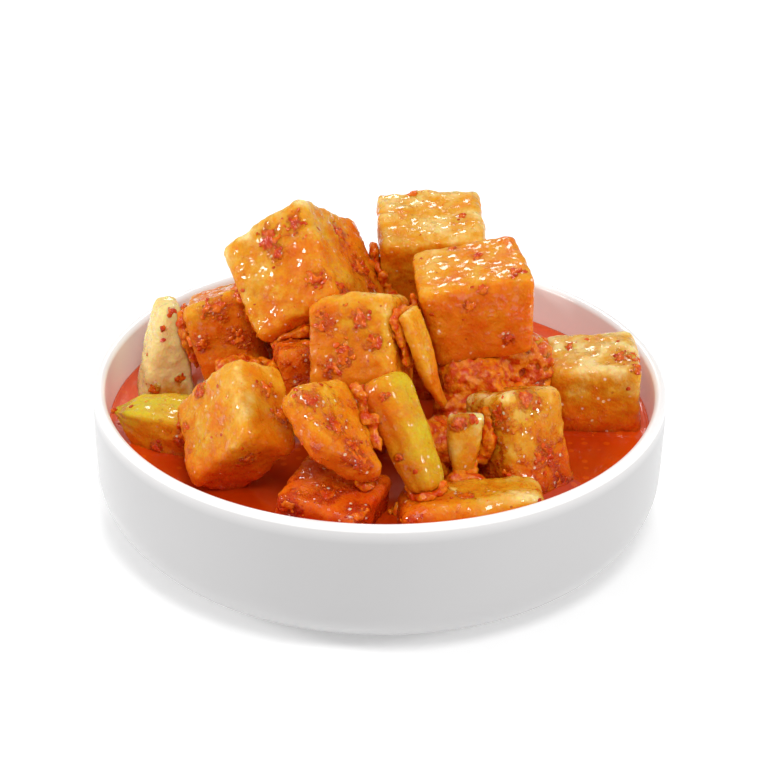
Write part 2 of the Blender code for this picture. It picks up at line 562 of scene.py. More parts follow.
def lumpy(name: str, size: float) -> bpy.types.Texture:
    """A soft relief for the Displace modifier.

    Args:
        name: the relief's name.
        size: how wide its lumps are, in metres.

    Returns:
        The relief.
    """
    relief = bpy.data.textures.new(name, "CLOUDS")
    relief.noise_scale = size
    relief.noise_depth = 2
    return relief


def store(obj: bpy.types.Object, name: str, numbers: np.ndarray) -> None:
    """Keep one number for each point of the mesh.

    Args:
        obj: the object.
        name: what the number is called.
        numbers: one for each point.
    """
    kept = obj.data.attributes.new(name=name, type="FLOAT", domain="POINT")
    kept.data.foreach_set("value", np.asarray(numbers, np.float32))


def stored(obj: bpy.types.Object, name: str) -> np.ndarray:
    """Read back the numbers kept for the points of a mesh.

    Args:
        obj: the object.
        name: what the number is called.

    Returns:
        One number for each point.
    """
    found = np.empty(len(obj.data.vertices), np.float32)
    obj.data.attributes[name].data.foreach_get("value", found)
    return found


def rows_of(obj: bpy.types.Object, what: str = "co") -> np.ndarray:
    """Read where the points of a mesh are, or which way they face.

    Args:
        obj: the object.
        what: co for places, normal for the ways they face.

    Returns:
        One row for each point.
    """
    found = np.empty(len(obj.data.vertices) * 3, np.float32)
    obj.data.vertices.foreach_get(what, found)
    return found.reshape(-1, 3)


def faces_of(obj: bpy.types.Object) -> Faces:
    """The point numbers of each face."""
    return [tuple(face.vertices) for face in obj.data.polygons]


def area_of(faces: Iterable[bpy.types.MeshPolygon]) -> float:
    """The area of some faces, in square centimetres."""
    return sum(face.area for face in faces) * 1e4


def move_points(obj: bpy.types.Object, points: np.ndarray) -> None:
    """Put the points of a mesh elsewhere.

    Args:
        obj: the object.
        points: their new places, one row each.
    """
    obj.data.vertices.foreach_set("co", points.astype(np.float32).ravel())
    obj.data.update()


def move_out(obj: bpy.types.Object, lift: np.ndarray) -> None:
    """Move a piece's surface outwards.

    Args:
        obj: the piece.
        lift: how far, for each of its points.
    """
    move_points(obj, rows_of(obj) + rows_of(obj, "normal") * lift[:, None])


def taken(obj: bpy.types.Object) -> tuple[np.ndarray, Faces]:
    """Take a small model out of the scene.

    Args:
        obj: the model, which is removed.

    Returns:
        Its points and faces.
    """
    points, faces = rows_of(obj).astype(float), faces_of(obj)
    bpy.data.objects.remove(obj)
    return points, faces


def main_axes(points: np.ndarray) -> tuple[np.ndarray, np.ndarray]:
    """Find how a long piece lies.

    Args:
        points: its points, one row each.

    Returns:
        Its middle, and its long, wide and thin axes, one row each.
    """
    middle = points.mean(axis=0)
    _, _, axes = np.linalg.svd(points - middle, full_matrices=False)
    return middle, axes


def edge_share(obj: bpy.types.Object) -> np.ndarray:
    """How much each point lies on an outward edge.

    Args:
        obj: the object.

    Returns:
        A number from 0 to 1 for each point.
    """
    points, normals = rows_of(obj).astype(float), rows_of(obj, "normal").astype(float)
    count = len(points)
    ends = np.empty(len(obj.data.edges) * 2, np.int32)
    obj.data.edges.foreach_get("vertices", ends)
    first, second = ends.reshape(-1, 2).T
    beside = np.bincount(first, minlength=count) + np.bincount(second, minlength=count)
    beside = np.maximum(beside, 1)
    bend = np.zeros(count)
    tilt = ((normals[second] - normals[first]) * (points[second] - points[first])).sum(axis=1)
    np.add.at(bend, first, tilt)
    np.add.at(bend, second, tilt)
    bend /= beside
    for _ in range(4):
        spread = np.zeros(count)
        np.add.at(spread, first, bend[second])
        np.add.at(spread, second, bend[first])
        bend = spread / beside
    sharpest = np.percentile(bend, 96)
    return np.clip(bend / max(sharpest, 1e-12), 0.0, 1.0)


def spun(name: str, profile: list[tuple[float, float]], steps: int) -> bpy.types.Object:
    """Spin a profile of (radius, height) about the Z axis into a closed body.

    Args:
        name: the new object's name.
        profile: its points, in order.
        steps: how many strips it has round.

    Returns:
        The object.
    """
    bpy.ops.mesh.primitive_plane_add(size=1.0, location=(0.0, 0.0, 0.0))
    obj = bpy.context.object
    obj.name = obj.data.name = name
    mesh = bpy.data.meshes.new(name)
    edges = [(index, index + 1) for index in range(len(profile) - 1)]
    mesh.from_pydata([(radius, 0.0, height) for radius, height in profile], edges, [])
    obj.data = mesh
    edit_all(obj)
    bpy.ops.mesh.spin(steps=steps, angle=math.tau, center=(0.0, 0.0, 0.0), axis=(0.0, 0.0, 1.0))
    bpy.ops.mesh.select_all(action="SELECT")
    bpy.ops.mesh.remove_doubles(threshold=0.01 * MM)
    bpy.ops.mesh.normals_make_consistent(inside=False)
    leave_edit()
    bpy.ops.object.shade_smooth()
    return obj


def finish_piece(obj: bpy.types.Object, material: bpy.types.Material, slot: str, *nodes: str) -> None:
    """Dress a piece, tie it to the body and hide the solids it stands for.

    Args:
        obj: the piece.
        material: its finish.
        slot: the record's slot for that finish; not used.
        nodes: the solids it stands for.
    """
    obj.data.materials.clear()
    obj.data.materials.append(material)
    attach(obj, BODY)
    if nodes:
        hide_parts(*nodes)
    LOG.info("%s: %d faces", obj.name, len(obj.data.polygons))


# ---------------------------------------------------------------- dish and brine


@dataclass
class Dish:
    """The low round dish: flat base, rounded foot, nearly upright wall and rounded rim."""

    radius: float = 58.0 * MM
    height: float = 31.5 * MM
    floor: float = 4.0 * MM
    wall: float = 2.4 * MM
    wall_gain: float = 0.8 * MM
    flare: float = 1.3 * MM
    foot_arc: tuple[float, float] = (17.0 * MM, 14.0 * MM)
    bowl_arc: tuple[float, float] = (15.0 * MM, 12.0 * MM)
    rim_round: float = 1.1 * MM
    wall_points: int = 24
    rim_points: int = 14
    steps: int = 192

    def wall_radius(self, height: float, arc: tuple[float, float], inset: float = 0.0) -> float:
        """The wall's radius at a height.

        Args:
            height: height above the bottom of its corner arc.
            arc: the arc's reach and rise.
            inset: how far inside the outer wall it is.

        Returns:
            The radius.
        """
        reach, rise = arc
        lean = self.flare * (1.0 - min(height / self.height, 1.0)) ** 1.5
        below = max(1.0 - height / rise, 0.0)
        return self.radius - inset - lean - reach * (1.0 - math.sqrt(1.0 - below**2))

    def inner_radius(self, height: float) -> float:
        """The inside of the wall at a height above the table."""
        thicker = self.wall_gain * (1.0 - height / self.height)
        return self.wall_radius(height - self.floor, self.bowl_arc, self.wall + thicker)

    def profile(self) -> list[tuple[float, float]]:
        """The whole outline, from the rim down the outside, across the base and up the inside.

        Returns:
            Its points, as (radius, height).
        """
        top = self.height - self.rim_round
        shares = [(step / self.wall_points) ** 2 for step in range(self.wall_points + 1)]
        outside = [(self.wall_radius(top * share, self.foot_arc), top * share) for share in shares[::-1]]
        heights = [self.floor + (top - self.floor) * share for share in shares]
        inside = [(self.inner_radius(height), height) for height in heights]
        outer, inner = outside[0][0], inside[-1][0]
        middle, half = (outer + inner) / 2, (outer - inner) / 2
        angles = [math.pi * step / self.rim_points for step in range(1, self.rim_points)]
        rim = [(middle - half * math.cos(a), top + self.rim_round * math.sin(a)) for a in angles]
        crown = len(rim) // 2
        base = [(0.0, 0.0), (0.0, self.floor)]
        return rim[crown:] + outside + base + inside + rim[: crown + 1]

    def build(self) -> bpy.types.Object:
        """Build and dress the dish.

        Returns:
            The dish.
        """
        obj = spun("dish_glazed", self.profile(), self.steps)
        across, deep, height = rows_of(obj).T
        side = np.arctan2(deep, across)
        wall = np.array([self.inner_radius(max(z, self.floor)) for z in height])
        inner = np.hypot(across, deep) < wall + 0.2 * MM
        splashed = 1.5 - 0.5 * np.cos(side * 2.0 + 0.3) + 0.6 * np.sin(side * 5.0 + 1.0)
        above = (height - BRINE_LEVEL) / MM
        store(obj, "smear", np.clip(1.0 - above / splashed, 0.0, 1.0) * inner)
        # painted light: marks the inside wall and the rim top for the paler glaze and the faint glow
        crown = np.clip((height - self.height + 1.3 * MM) / (0.5 * MM), 0.0, 1.0)
        store(obj, "inside", np.maximum(inner * 1.0, crown))
        finish_piece(obj, GlazeFinish().make(), "glazed_dish", "dish")
        return obj


@dataclass
class Brine:
    """The brine: a pool with a slightly raised edge where it meets the wall and the pieces."""

    dish: Dish
    level: float = BRINE_LEVEL
    climb: float = 0.7 * MM
    reach: float = 0.9 * MM
    shallow: float = 9.0 * MM
    swell: float = 0.12 * MM
    swell_size: float = 9.0 * MM
    wall_gap: float = 0.05 * MM
    side_gap: float = 0.1 * MM
    rings: int = 96
    side_rings: int = 8
    steps: int = 288

    def build(self, others: BVHTree) -> bpy.types.Object:
        """Build and dress the brine.

        Args:
            others: the surfaces of all pieces that stand in it.

        Returns:
            The brine.
        """
        wall = self.dish.inner_radius(self.level) - self.wall_gap
        across = [(wall * (step / self.rings) ** 0.75, self.level) for step in range(self.rings + 1)]
        drop = self.level - self.dish.floor
        heights = [self.level - drop * step / self.side_rings for step in range(1, self.side_rings + 1)]
        gap = self.side_gap
        side = [(self.dish.inner_radius(height) - gap, height + gap) for height in heights]
        obj = spun("brine_pool", across + side + [(0.0, self.dish.floor + gap)], self.steps)
        opened = np.zeros(len(obj.data.vertices))
        for index, vert in enumerate(obj.data.vertices):
            if vert.co.z < self.level - 0.01 * MM:
                continue
            _, _, _, piece_gap = others.find_nearest(vert.co)
            rim_gap = wall - math.hypot(vert.co.x, vert.co.y)
            opened[index] = min(rim_gap / self.shallow, 1.0)
            vert.co.z += self.climb * math.exp(-min(piece_gap, rim_gap) / self.reach)
            vert.co.z += self.swell * noise.noise(vert.co / self.swell_size)
        store(obj, "open", 1.0 - opened * 0.75)
        finish_piece(obj, BrineFinish().make(), "brine", "brine")
        return obj


# ---------------------------------------------------------------- the cut pieces


@dataclass(frozen=True)
class Cut:
    """One piece of the heap, how it is cut and how it is coated.

    film is how thick the film on its top is, up to 4, and lean how much thicker it is at the right. paste
    is how much red paste clings to it, from 0 to 1, and rough how torn its surface is. flakes and pulp say
    how many bits of chilli and grains of pulp it asks for to a square centimetre, and mush how many balls
    of paste. swell is how much fuller the piece is than its solid, in mm, slim how much narrower, as a
    share, and ribs how high a stalk's ribs stand, in mm. tip says which end is drawn out, narrow how much
    thinner it gets there, as a share, and curl how far it curls sideways, in mm. Each clump of chilli has
    its place across and up the outline that the piece shows at the front, as shares, and its width, in mm.
    """

    node: str
    film: float
    paste: float
    flesh: Flesh = Flesh.PALE
    rough: float = 0.4
    flakes: float = 3.0
    pulp: float = 2.0
    lean: float = 0.0
    swell: float = 0.0
    slim: float = 0.0
    ribs: float = 0.0
    mush: float = 0.0
    tip: Place | None = None
    narrow: float = 0.0
    curl: float = 0.0
    clumps: tuple[tuple[float, float, float], ...] = ()


CUTS = (
    Cut(
        "cube_crest_left", film=1.0, paste=0.2, rough=0.55, flakes=2.0, pulp=2.0, lean=0.4, swell=0.3,
        clumps=(
            (0.27, 0.74, 2.6), (0.34, 0.64, 1.8), (0.43, 0.84, 2.2), (0.68, 0.80, 2.4),
            (0.80, 0.58, 2.8), (0.56, 0.48, 2.4), (0.72, 0.40, 2.0), (0.88, 0.44, 1.8),
        ),
    ),
    Cut(
        "cube_crest_back", film=0.8, paste=0.05, rough=0.50, flakes=1.0, pulp=1.0,
        clumps=((0.33, 0.97, 1.6), (0.75, 0.80, 1.2)),
    ),
    Cut(
        "cube_crest_right", film=1.25, paste=0.05, rough=0.35, flakes=1.2, pulp=0.5, lean=0.15,
        clumps=(
            (0.33, 0.90, 1.3), (0.53, 0.84, 1.4), (0.85, 0.72, 1.6), (0.46, 0.46, 1.2),
            (0.56, 0.57, 1.3), (0.80, 0.22, 1.6), (0.90, 0.95, 1.8),
        ),
    ),
    Cut(
        "cube_middle", film=1.0, paste=0.2, rough=0.60, flakes=2.5, pulp=6.0, lean=-0.3, swell=0.5,
        clumps=(
            (0.16, 0.68, 2.2), (0.48, 0.74, 2.2), (0.34, 0.40, 2.6), (0.62, 0.52, 2.0),
            (0.20, 0.25, 2.0),
        ),
    ),
    Cut(
        "slice_leaning", film=0.85, paste=0.05, rough=0.22, flakes=0.6, pulp=0.3, slim=0.3,
        tip=(0.0, 0.0, -1.0), narrow=0.75, curl=2.2,
        clumps=((0.15, 0.95, 1.8),),
    ),
    Cut("cube_middle_left", film=1.9, paste=0.5, rough=0.55, flakes=5.0, pulp=14.0, swell=0.6),
    Cut("cube_behind_front_left", film=2.3, paste=0.7, rough=0.55, flakes=5.0, pulp=12.0, mush=60.0),
    Cut(
        "cube_left_red", film=1.35, paste=0.25, rough=0.35, flakes=2.5, pulp=4.0, swell=0.4,
        clumps=((0.36, 0.72, 2.6), (0.62, 0.45, 2.2), (0.20, 0.40, 1.8)),
    ),
    Cut(
        "wedge_left_pale", film=-1.2, paste=0.08, rough=0.35, flakes=1.5, pulp=1.0, swell=0.4,
        ribs=0.05, tip=(0.0, 0.0, 1.0), narrow=0.3,
        clumps=((0.62, 0.86, 1.0), (0.50, 0.70, 0.9), (0.75, 0.26, 1.3), (0.35, 0.15, 1.6)),
    ),
    Cut(
        "stalk_left", film=0.5, paste=0.25, flesh=Flesh.GREEN, rough=0.25, flakes=2.0, pulp=4.0,
        lean=0.6, swell=0.4, slim=0.1, ribs=0.10, tip=(-1.0, 0.0, 0.0), narrow=0.8,
        clumps=((0.76, 0.42, 2.4), (0.45, 0.30, 1.5)),
    ),
    Cut(
        "cube_front_left", film=1.0, paste=0.2, rough=0.50, flakes=1.2, pulp=2.0, lean=0.2, swell=0.3,
        clumps=(
            (0.20, 0.76, 1.6), (0.08, 0.50, 1.2), (0.62, 0.27, 2.2), (0.88, 0.60, 2.0),
            (0.76, 0.80, 2.0),
        ),
    ),
    Cut(
        "wedge_front", film=1.25, paste=0.4, rough=0.55, flakes=3.0, pulp=5.0, swell=0.5, slim=0.05,
        tip=(0.5, 0.0, -1.0), narrow=0.5,
        clumps=((0.30, 0.80, 2.0), (0.55, 0.55, 2.0), (0.72, 0.35, 1.8), (0.80, 0.20, 1.6)),
    ),
    Cut(
        "stalk_front", film=0.95, paste=0.05, flesh=Flesh.GREEN, rough=0.25, flakes=1.5, pulp=1.0,
        lean=-1.0, slim=0.2, ribs=0.06, tip=(0.3, 0.0, -1.0), narrow=0.4,
        clumps=((0.45, 0.30, 1.0), (0.25, 0.80, 1.2)),
    ),
    Cut(
        "cube_front_low", film=2.2, paste=0.35, rough=0.4, flakes=5.0, pulp=6.0,
        clumps=((0.15, 0.60, 2.6), (0.45, 0.70, 2.4), (0.75, 0.55, 2.6)),
    ),
    Cut(
        "chunk_front_right", film=1.05, paste=0.25, rough=0.4, flakes=1.2, pulp=4.0, lean=-0.7,
        swell=1.2, tip=(1.0, 0.0, 0.0), narrow=0.2,
        clumps=((0.10, 0.45, 2.4), (0.45, 0.80, 1.8)),
    ),
    Cut(
        "petal_front", film=0.5, paste=0.05, rough=0.2, flakes=0.5, pulp=0.5, swell=0.3, slim=0.1,
        tip=(0.0, 0.0, -1.0), narrow=0.7, curl=0.4,
        clumps=((0.5, 0.93, 2.0), (0.3, 0.85, 1.6)),
    ),
    Cut(
        "cube_right_front", film=0.75, paste=0.42, rough=0.55, flakes=1.5, pulp=7.0, lean=0.45,
        swell=0.7,
        clumps=(
            (0.30, 0.75, 2.2), (0.55, 0.90, 2.6), (0.70, 0.45, 2.6), (0.85, 0.20, 2.0),
            (0.15, 0.35, 1.6),
        ),
    ),
    Cut(
        "cube_right", film=0.65, paste=0.10, rough=0.45, flakes=0.8, pulp=1.5, swell=0.4,
        clumps=((0.80, 0.80, 2.4), (0.92, 0.70, 1.6), (0.25, 0.86, 1.4)),
    ),
    Cut(
        "cube_right_red", film=1.3, paste=0.5, rough=0.6, flakes=4.0, pulp=14.0, mush=50.0,
        clumps=((0.40, 0.60, 2.6), (0.70, 0.30, 2.4)),
    ),
    Cut(
        "slice_right_red", film=1.4, paste=0.4, rough=0.4, flakes=3.0, pulp=8.0, swell=0.5, mush=90.0,
        clumps=((0.50, 0.60, 2.0),),
    ),
    Cut("cube_centre_red", film=1.6, paste=0.5, rough=0.4, flakes=4.0, pulp=12.0, swell=0.5, mush=90.0),
    Cut(
        "chunk_centre_red", film=1.5, paste=0.4, rough=0.5, flakes=4.0, pulp=16.0, swell=0.5, mush=90.0,
    ),
    Cut("cube_back_left", film=0.5, paste=0.25),
    Cut("cube_back", film=0.4, paste=0.2),
    Cut("cube_back_right", film=1.2, paste=0.4),
    Cut("cube_back_middle", film=0.7, paste=0.3),
    Cut("cube_under_left", film=1.3, paste=0.5, pulp=8.0),
    Cut("cube_under_back", film=1.4, paste=0.5, pulp=8.0),
    Cut("cube_under_right", film=1.4, paste=0.5, pulp=8.0),
    Cut("cube_under_middle", film=1.6, paste=0.6, pulp=10.0),
)

SLOTS = {part["node"]: part["material_slot"] for part in frame["record"]["subparts"]}
FINISHES = {
    Flesh.PALE: RadishFinish(
        "wet_radish",
        (
            (0.0, (0.88, 0.66, 0.26)),
            (0.08, (0.78, 0.45, 0.09)),
            (0.17, (0.75, 0.33, 0.012)),
            (0.30, (0.74, 0.21, 0.003)),
            (0.50, (0.72, 0.12, 0.002)),
            (0.75, (0.62, 0.05, 0.001)),
            (1.0, (0.42, 0.018, 0.0004)),
        ),
    ),
    Flesh.GREEN: RadishFinish(
        "wet_stalk",
        (
            (0.0, (0.66, 0.48, 0.02)),
            (0.15, (0.68, 0.37, 0.010)),
            (0.32, (0.70, 0.23, 0.004)),
            (0.50, (0.68, 0.13, 0.002)),
            (0.75, (0.60, 0.05, 0.001)),
            (1.0, (0.42, 0.018, 0.0004)),
        ),
        glow=0.55,
    ),
}


@dataclass(frozen=True)
class Coating:
    """How the film and the paste thicken over a piece, with painted shade added to the film.

    The side and underside terms and hemmed raise the film on sides and undersides and between pieces, which
    makes those places redder and darker: this is painted shade. soaked, edge, crown and clumped say how
    much thicker or thinner the film gets near the brine, on outward edges, towards the top and round a
    clump of chilli. splash is how far above the brine a piece is soaked. Each place looks for its
    neighbours along a number of rays, up to their reach, from a start this many mm off the surface.
    """

    # painted shade: the next three raise the film on sides, undersides and between pieces
    side_shade: float = 0.35
    underside_shade: float = 0.25
    hemmed: float = 0.8
    soaked: float = 1.2
    edge: float = -0.25
    crown: float = -0.3
    clumped: float = 0.5
    paste_hemmed: float = 0.5
    paste_clumped: float = 0.8
    splash: float = 9.0 * MM
    rays: int = 12
    ray_reach: float = 13.0 * MM
    ray_start: float = 0.3

    def fan(self, seed: str) -> list[Vector]:
        """Pick the ways in which a place looks for its neighbours.

        Args:
            seed: what the choice depends on.

        Returns:
            One direction for each look.
        """
        chance = random.Random(seed)
        ways: list[Vector] = []
        while len(ways) < self.rays:
            way = Vector([chance.uniform(-1, 1) for _ in range(3)])
            if 0.1 < way.length < 1.0:
                ways.append(way.normalized())
        return ways

    def hidden(self, vert: bpy.types.MeshVertex, fan: list[Vector], around: BVHTree) -> float:
        """How hemmed in a place is by its neighbours.

        Args:
            vert: the place.
            fan: the ways in which it looks.
            around: the surfaces of the whole heap.

        Returns:
            A number from 0, in the open, to 1.
        """
        normal, share = vert.normal, 0.0
        start = vert.co + normal * self.ray_start * MM
        for ray in fan:
            way = ray if ray.dot(normal) > 0 else -ray
            _, _, _, length = around.ray_cast(start, way, self.ray_reach)
            if length is not None:
                share += 1.0 - length / self.ray_reach
        return share / len(fan)

    def lay(self, cut: Cut, obj: bpy.types.Object, spots: Spots, around: BVHTree) -> None:
        """Work out where film and paste gather on a piece, with painted shade added to the film, and store
        it on its mesh.

        Args:
            cut: the piece.
            obj: its mesh object.
            spots: the place and width of each of its clumps.
            around: the surfaces of the whole heap.
        """
        fan, edges = self.fan(cut.node), edge_share(obj)
        across, _, heights = rows_of(obj).astype(float).T
        centre, half = (across.max() + across.min()) / 2, (across.max() - across.min()) / 2
        middle, rise = (heights.max() + heights.min()) / 2, (heights.max() - heights.min()) / 2
        count = len(obj.data.vertices)
        film, paste, deep = np.zeros(count), np.zeros(count), np.zeros(count)
        for index, vert in enumerate(obj.data.vertices):
            up = vert.normal.z
            hidden = self.hidden(vert, fan, around)
            low = min(max((BRINE_LEVEL + self.splash - vert.co.z) / self.splash, 0.0), 1.0)
            near = sum(math.exp(-((vert.co - spot).length_squared) / width**2) for spot, width in spots)
            near = min(near, 1.0)
            # painted shade: sides, undersides and hemmed-in places get more film, so they colour redder and
            # darker
            film[index] = cut.film + self.side_shade * (1.0 - max(up, 0.0)) + self.underside_shade * max(-up, 0.0)
            film[index] += self.hemmed * hidden + self.soaked * low + self.clumped * near
            film[index] += cut.lean * (vert.co.x - centre) / half + self.edge * edges[index]
            film[index] += self.crown * (vert.co.z - middle) / rise
            paste[index] = cut.paste + self.paste_hemmed * hidden + self.paste_clumped * near
            deep[index] = hidden
        store(obj, "film", film)
        store(obj, "paste", paste)
        store(obj, "deep", deep)


@dataclass
class Heap:
    """All the cut pieces, each one worked from its own solid."""

    voxel: float = 0.52 * MM
    fine_voxel: float = 0.40 * MM
    small: float = 14.0 * MM
    rounding: int = 12
    fine_rounding: int = 26
    wave: float = 3.4
    tear: float = 1.0
    rib_count: float = 11.0

    def __post_init__(self) -> None:
        """Make the reliefs and finishes that the pieces share."""
        self.broad = lumpy("knife_waves", 6.5 * MM)
        self.fine = lumpy("torn_fibres", 1.7 * MM)
        self.materials = {flesh: finish.make() for flesh, finish in FINISHES.items()}
        self.pieces: dict[str, bpy.types.Object] = {}
        self.trees: dict[str, BVHTree] = {}

    def shape(self, cut: Cut) -> bpy.types.Object:
        """Work one piece's surface: rounder, wavier and rougher than its solid.

        Args:
            cut: the piece.

        Returns:
            The worked piece.
        """
        obj = placed("piece_" + cut.node, frame["nodes"][cut.node].data.copy())
        edit_all(obj)
        bpy.ops.mesh.remove_doubles(threshold=0.02 * MM)
        leave_edit()
        low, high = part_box(cut.node)
        large = min(high - low) > self.small
        apply_modifier(obj, "REMESH", mode="VOXEL", voxel_size=self.voxel if large else self.fine_voxel)
        apply_modifier(obj, "SMOOTH", factor=0.5, iterations=self.rounding if large else self.fine_rounding)
        if cut.swell:
            move_out(obj, np.full(len(obj.data.vertices), cut.swell * MM))
        if cut.ribs:
            self.add_ribs(obj, cut.ribs * MM)
        if cut.tip:
            self.draw_tip(obj, cut)
        displace(obj, self.broad, cut.rough * self.wave * MM, 0.55)
        displace(obj, self.fine, cut.rough * self.tear * MM)
        bpy.ops.object.shade_smooth()
        return obj

    def draw_tip(self, obj: bpy.types.Object, cut: Cut) -> None:
        """Draw one end of a long piece out thinner, and curl it.

        Args:
            obj: the piece.
            cut: how it is cut.
        """
        points = rows_of(obj)
        middle, axes = main_axes(points)
        axes[0] *= 1.0 if axes[0] @ np.array(cut.tip) > 0.0 else -1.0
        axes[1] *= 1.0 if axes[1][0] > 0.0 else -1.0
        along, across, through = ((points - middle) @ axes.T).T
        reach = np.clip(along / along.max() * 0.8 + 0.2, 0.0, 1.0) ** 1.5
        across = across * (1.0 - cut.slim) * (1.0 - cut.narrow * reach) + cut.curl * MM * reach**2
        through = through * (1.0 - 0.6 * cut.narrow * reach)
        move_points(obj, middle + np.stack([along, across, through], axis=1) @ axes)

    def add_ribs(self, obj: bpy.types.Object, height: float) -> None:
        """Raise ribs that run along a stalk.

        Args:
            obj: the stalk.
            height: how high they stand.
        """
        points = rows_of(obj)
        middle, axes = main_axes(points)
        around = (points - middle) @ axes[1]
        deeper = (points - middle) @ axes[2]
        move_out(obj, height * np.cos(np.arctan2(deeper, around) * self.rib_count))

    def spots(self, cut: Cut) -> Spots:
        """Find where a piece's clumps of chilli sit.

        Args:
            cut: the piece.

        Returns:
            Each clump's place and width.
        """
        points = rows_of(self.pieces[cut.node]).astype(float)
        heights = points @ np.array(SHOWN_UP)
        low_x, high_x = points[:, 0].min(), points[:, 0].max()
        low_up, high_up = heights.min(), heights.max()
        found = []
        for across, up, width in cut.clumps:
            target = Vector((low_x + (high_x - low_x) * across, 0.0, 0.0))
            target += SHOWN_UP * (low_up + (high_up - low_up) * up)
            spot, _, _, _ = self.trees[cut.node].ray_cast(target - SHOWN_WAY * FAR, SHOWN_WAY)
            if spot is not None:
                found.append((spot, width * MM))
        return found

    def build(self) -> BVHTree:
        """Work every piece.

        Returns:
            All pieces as one searchable surface.
        """
        all_points: list[Vector] = []
        all_faces: Faces = []
        for cut in CUTS:
            obj = self.shape(cut)
            points, faces = [vert.co.copy() for vert in obj.data.vertices], faces_of(obj)
            self.pieces[cut.node] = obj
            self.trees[cut.node] = BVHTree.FromPolygons(points, faces)
            all_faces += [tuple(len(all_points) + index for index in face) for face in faces]
            all_points += points
        return BVHTree.FromPolygons(all_points, all_faces)

    def dress(self, around: BVHTree) -> None:
        """Coat and finish every piece.

        Args:
            around: the surfaces of the whole heap.
        """
        coating = Coating()
        for cut in CUTS:
            obj = self.pieces[cut.node]
            coating.lay(cut, obj, self.spots(cut), around)
            finish_piece(obj, self.materials[cut.flesh], SLOTS.get(cut.node, "radish"), cut.node)


# ---------------------------------------------------------------- chilli, pulp, seeds and paste


class Copies:
    """Many copies of one small model, which end up as a single mesh."""

    def __init__(self, model: np.ndarray, faces: Faces, seed: int) -> None:
        """Start with no copies.

        Args:
            model: the model's points, one row each.
            faces: its faces.
            seed: what its chances depend on.
        """
        self.model = model
        self.model_faces = faces
        self.chance = random.Random(seed)
        self.points: list[np.ndarray] = []
        self.faces: Faces = []

    def uneven(self, share: float) -> np.ndarray:
        """The model with each of its points moved in or out by up to this share."""
        return self.model * np.array([[1.0 + self.chance.uniform(-share, share)] for _ in self.model])

    def add(self, points: np.ndarray) -> None:
        """Add one copy.

        Args:
            points: its points, in the model's order.
        """
        first = len(self.points) * len(self.model)
        self.points.append(points)
        self.faces += [tuple(first + index for index in face) for face in self.model_faces]

    def beside(
        self, tree: BVHTree, spot: Vector, width: float, spread: float
    ) -> tuple[Vector, Vector] | None:
        """Pick a place on a surface near a spot.

        Args:
            tree: the surface.
            spot: the spot.
            width: how far away it may be.
            spread: how widely the picks scatter, as a share of the width.

        Returns:
            The place and which way the surface faces there, or nothing where it is too far.
        """
        stray = Vector([self.chance.gauss(0.0, width * spread) for _ in range(3)])
        place, normal, _, gap = tree.find_nearest(spot + stray)
        return (place, normal) if place is not None and gap < width else None

    def joined(self, name: str) -> bpy.types.Object:
        """Put all copies into the scene as one object.

        Args:
            name: its name.

        Returns:
            The object.
        """
        mesh = bpy.data.meshes.new(name)
        mesh.from_pydata(np.concatenate(self.points).tolist(), [], self.faces)
        return placed(name, mesh)


@dataclass(frozen=True)
class Bit:
    """A scrap that is modelled once and laid many times.

    thickness is a share of its width, sink the share of its size that it sits deep, and smallest and
    largest are its widths in metres. detail is how finely a round one is modelled.
    """

    name: str
    finish: WetBitFinish
    thickness: float
    sink: float
    smallest: float
    largest: float
    slot: str = "radish_in_red_paste"
    detail: int = 1

    def template(self) -> tuple[np.ndarray, Faces]:
        """Model the scrap once, one unit across: a thin one flat, a thick one round.

        Returns:
            Its points and faces.
        """
        if self.thickness < 0.5:
            bpy.ops.mesh.primitive_cylinder_add(vertices=7, radius=0.5, depth=self.thickness)
            edit_all(bpy.context.object)
            bpy.ops.mesh.bevel(offset=self.thickness * 0.3, segments=1)
        else:
            bpy.ops.mesh.primitive_ico_sphere_add(subdivisions=self.detail, radius=0.5)
            edit_all(bpy.context.object)
            bpy.ops.transform.resize(value=(1.0, 0.85, self.thickness))
        leave_edit()
        return taken(bpy.context.object)


